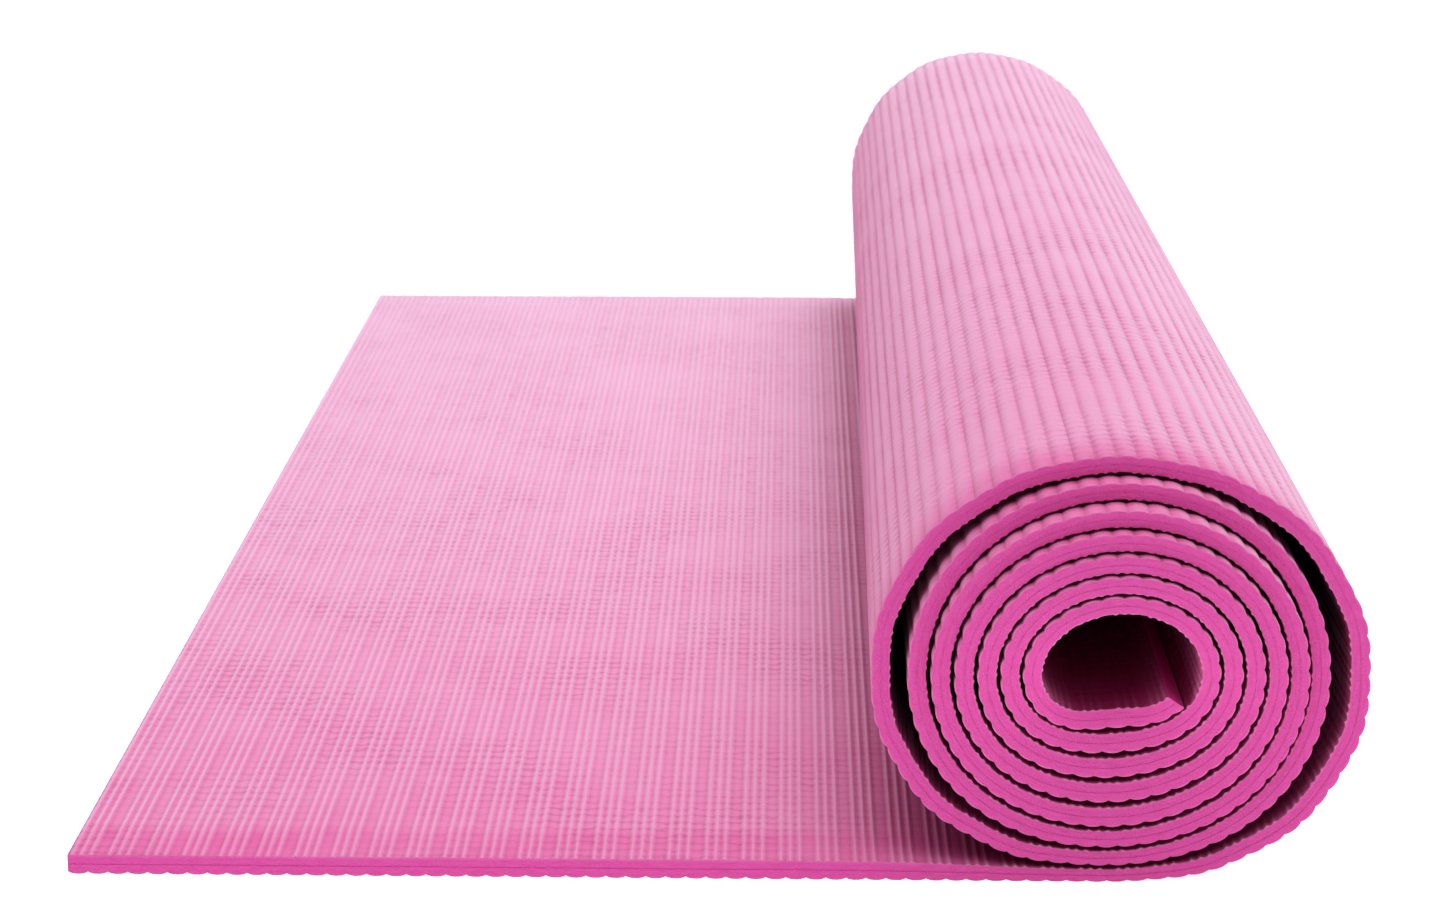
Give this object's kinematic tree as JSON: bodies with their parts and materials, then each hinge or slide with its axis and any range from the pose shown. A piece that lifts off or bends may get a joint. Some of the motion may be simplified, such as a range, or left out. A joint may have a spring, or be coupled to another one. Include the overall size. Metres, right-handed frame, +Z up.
{
  "type": "roll-up exercise mat",
  "caption": "Ribbed foam exercise mat, partly unrolled: a flat end on the floor and the rest wound into a soft oval coil.",
  "frame": {"origin": "on the floor at mid-width, at the foot of the coil, where the mat leaves the floor", "axes": "+X along the mat from the free end towards the coil, +Y along the coil, +Z up"},
  "size_m": [0.2971, 0.61, 0.101],
  "materials": {
    "upper_foam": "soft closed-cell foam, matte, fine woven emboss",
    "lower_foam": "soft closed-cell foam, matte, ribbed",
    "scrim": "thin polyester yarn mesh"
  },
  "bodies": {
    "foot": {"upper_foam_foot": "upper_foam", "scrim_foot": "scrim", "lower_foam_foot": "lower_foam"},
    "turn_01": {"upper_foam_turn_01": "upper_foam", "scrim_turn_01": "scrim", "lower_foam_turn_01": "lower_foam"},
    "turn_02": {"upper_foam_turn_02": "upper_foam", "scrim_turn_02": "scrim", "lower_foam_turn_02": "lower_foam"},
    "turn_03": {"upper_foam_turn_03": "upper_foam", "scrim_turn_03": "scrim", "lower_foam_turn_03": "lower_foam"},
    "turn_04": {"upper_foam_turn_04": "upper_foam", "scrim_turn_04": "scrim", "lower_foam_turn_04": "lower_foam"},
    "turn_05": {"upper_foam_turn_05": "upper_foam", "scrim_turn_05": "scrim", "lower_foam_turn_05": "lower_foam"},
    "turn_06": {"upper_foam_turn_06": "upper_foam", "scrim_turn_06": "scrim", "lower_foam_turn_06": "lower_foam"},
    "turn_07": {"upper_foam_turn_07": "upper_foam", "scrim_turn_07": "scrim", "lower_foam_turn_07": "lower_foam"},
    "turn_08": {"upper_foam_turn_08": "upper_foam", "scrim_turn_08": "scrim", "lower_foam_turn_08": "lower_foam"},
    "turn_09": {"upper_foam_turn_09": "upper_foam", "scrim_turn_09": "scrim", "lower_foam_turn_09": "lower_foam"},
    "turn_10": {"upper_foam_turn_10": "upper_foam", "scrim_turn_10": "scrim", "lower_foam_turn_10": "lower_foam"},
    "turn_11": {"upper_foam_turn_11": "upper_foam", "scrim_turn_11": "scrim", "lower_foam_turn_11": "lower_foam"},
    "turn_12": {"upper_foam_turn_12": "upper_foam", "scrim_turn_12": "scrim", "lower_foam_turn_12": "lower_foam"},
    "coil": {"upper_foam_coil": "upper_foam", "scrim_coil": "scrim", "lower_foam_coil": "lower_foam"},
    "flap_1": {"upper_foam_flap_1": "upper_foam", "scrim_flap_1": "scrim", "lower_foam_flap_1": "lower_foam"},
    "flap_2": {"upper_foam_flap_2": "upper_foam", "scrim_flap_2": "scrim", "lower_foam_flap_2": "lower_foam"},
    "flap_3": {"upper_foam_flap_3": "upper_foam", "scrim_flap_3": "scrim", "lower_foam_flap_3": "lower_foam"},
    "flap_4": {"upper_foam_flap_4": "upper_foam", "scrim_flap_4": "scrim", "lower_foam_flap_4": "lower_foam"},
    "flap_5": {"upper_foam_flap_5": "upper_foam", "scrim_flap_5": "scrim", "lower_foam_flap_5": "lower_foam"},
    "flap_6": {"upper_foam_flap_6": "upper_foam", "scrim_flap_6": "scrim", "lower_foam_flap_6": "lower_foam"}
  },
  "joints": [
    {"name": "unroll", "type": "hinge", "parent": "foot", "child": "turn_01", "pos_m": [0.02161, 0, 0.00469], "axis": [0, 1, 0], "range_deg": [0, 29.59]},
    {"name": "unroll_02", "type": "hinge", "parent": "turn_01", "child": "turn_02", "pos_m": [0.04188, 0, 0.01617], "axis": [0, 1, 0], "range_deg": [0, 29.97]},
    {"name": "unroll_03", "type": "hinge", "parent": "turn_02", "child": "turn_03", "pos_m": [0.05427, 0, 0.03719], "axis": [0, 1, 0], "range_deg": [0, 31.16]},
    {"name": "unroll_04", "type": "hinge", "parent": "turn_03", "child": "turn_04", "pos_m": [0.05399, 0, 0.0619], "axis": [0, 1, 0], "range_deg": [0, 30.11]},
    {"name": "unroll_05", "type": "hinge", "parent": "turn_04", "child": "turn_05", "pos_m": [0.0416, 0, 0.08275], "axis": [0, 1, 0], "range_deg": [0, 26.88]},
    {"name": "unroll_06", "type": "hinge", "parent": "turn_05", "child": "turn_06", "pos_m": [0.02197, 0, 0.0952], "axis": [0, 1, 0], "range_deg": [0, 22.73]},
    {"name": "unroll_07", "type": "hinge", "parent": "turn_06", "child": "turn_07", "pos_m": [0, 0, 0.09894], "axis": [0, 1, 0], "range_deg": [0, 21.18]},
    {"name": "unroll_08", "type": "hinge", "parent": "turn_07", "child": "turn_08", "pos_m": [-0.02165, 0, 0.09454], "axis": [0, 1, 0], "range_deg": [0, 23.48]},
    {"name": "unroll_09", "type": "hinge", "parent": "turn_08", "child": "turn_09", "pos_m": [-0.04015, 0, 0.0816], "axis": [0, 1, 0], "range_deg": [0, 27.11]},
    {"name": "unroll_10", "type": "hinge", "parent": "turn_09", "child": "turn_10", "pos_m": [-0.05096, 0, 0.06121], "axis": [0, 1, 0], "range_deg": [0, 29.45]},
    {"name": "unroll_11", "type": "hinge", "parent": "turn_10", "child": "turn_11", "pos_m": [-0.05035, 0, 0.03808], "axis": [0, 1, 0], "range_deg": [0, 30.23]},
    {"name": "unroll_12", "type": "hinge", "parent": "turn_11", "child": "turn_12", "pos_m": [-0.03847, 0, 0.01889], "axis": [0, 1, 0], "range_deg": [0, 28.96]},
    {"name": "unroll_13", "type": "hinge", "parent": "turn_12", "child": "coil", "pos_m": [-0.01982, 0, 0.00842], "axis": [0, 1, 0], "range_deg": [0, 29.26]},
    {"name": "curl", "type": "hinge", "parent": "foot", "child": "flap_1", "pos_m": [-0.045, 0, 0.00235], "axis": [0, 1, 0], "range_deg": [0, 15]},
    {"name": "curl_2", "type": "hinge", "parent": "flap_1", "child": "flap_2", "pos_m": [-0.07733, 0, 0.0025], "axis": [0, 1, 0], "range_deg": [0, 15]},
    {"name": "curl_3", "type": "hinge", "parent": "flap_2", "child": "flap_3", "pos_m": [-0.10967, 0, 0.0025], "axis": [0, 1, 0], "range_deg": [0, 15]},
    {"name": "curl_4", "type": "hinge", "parent": "flap_3", "child": "flap_4", "pos_m": [-0.142, 0, 0.0025], "axis": [0, 1, 0], "range_deg": [0, 15]},
    {"name": "curl_5", "type": "hinge", "parent": "flap_4", "child": "flap_5", "pos_m": [-0.17433, 0, 0.0025], "axis": [0, 1, 0], "range_deg": [0, 15]},
    {"name": "curl_6", "type": "hinge", "parent": "flap_5", "child": "flap_6", "pos_m": [-0.20667, 0, 0.0025], "axis": [0, 1, 0], "range_deg": [0, 15]}
  ],
  "couplings": [
    {"joint": "unroll_02", "follows": "unroll", "ratio": 1.0126},
    {"joint": "unroll_03", "follows": "unroll", "ratio": 1.0528},
    {"joint": "unroll_04", "follows": "unroll", "ratio": 1.0175},
    {"joint": "unroll_05", "follows": "unroll", "ratio": 0.90833},
    {"joint": "unroll_06", "follows": "unroll", "ratio": 0.76786},
    {"joint": "unroll_07", "follows": "unroll", "ratio": 0.71551},
    {"joint": "unroll_08", "follows": "unroll", "ratio": 0.7934},
    {"joint": "unroll_09", "follows": "unroll", "ratio": 0.91616},
    {"joint": "unroll_10", "follows": "unroll", "ratio": 0.9952},
    {"joint": "unroll_11", "follows": "unroll", "ratio": 1.0216},
    {"joint": "unroll_12", "follows": "unroll", "ratio": 0.97867},
    {"joint": "unroll_13", "follows": "unroll", "ratio": 0.98865},
    {"joint": "curl_2", "follows": "curl", "ratio": 1},
    {"joint": "curl_3", "follows": "curl", "ratio": 1},
    {"joint": "curl_4", "follows": "curl", "ratio": 1},
    {"joint": "curl_5", "follows": "curl", "ratio": 1},
    {"joint": "curl_6", "follows": "curl", "ratio": 1}
  ]
}
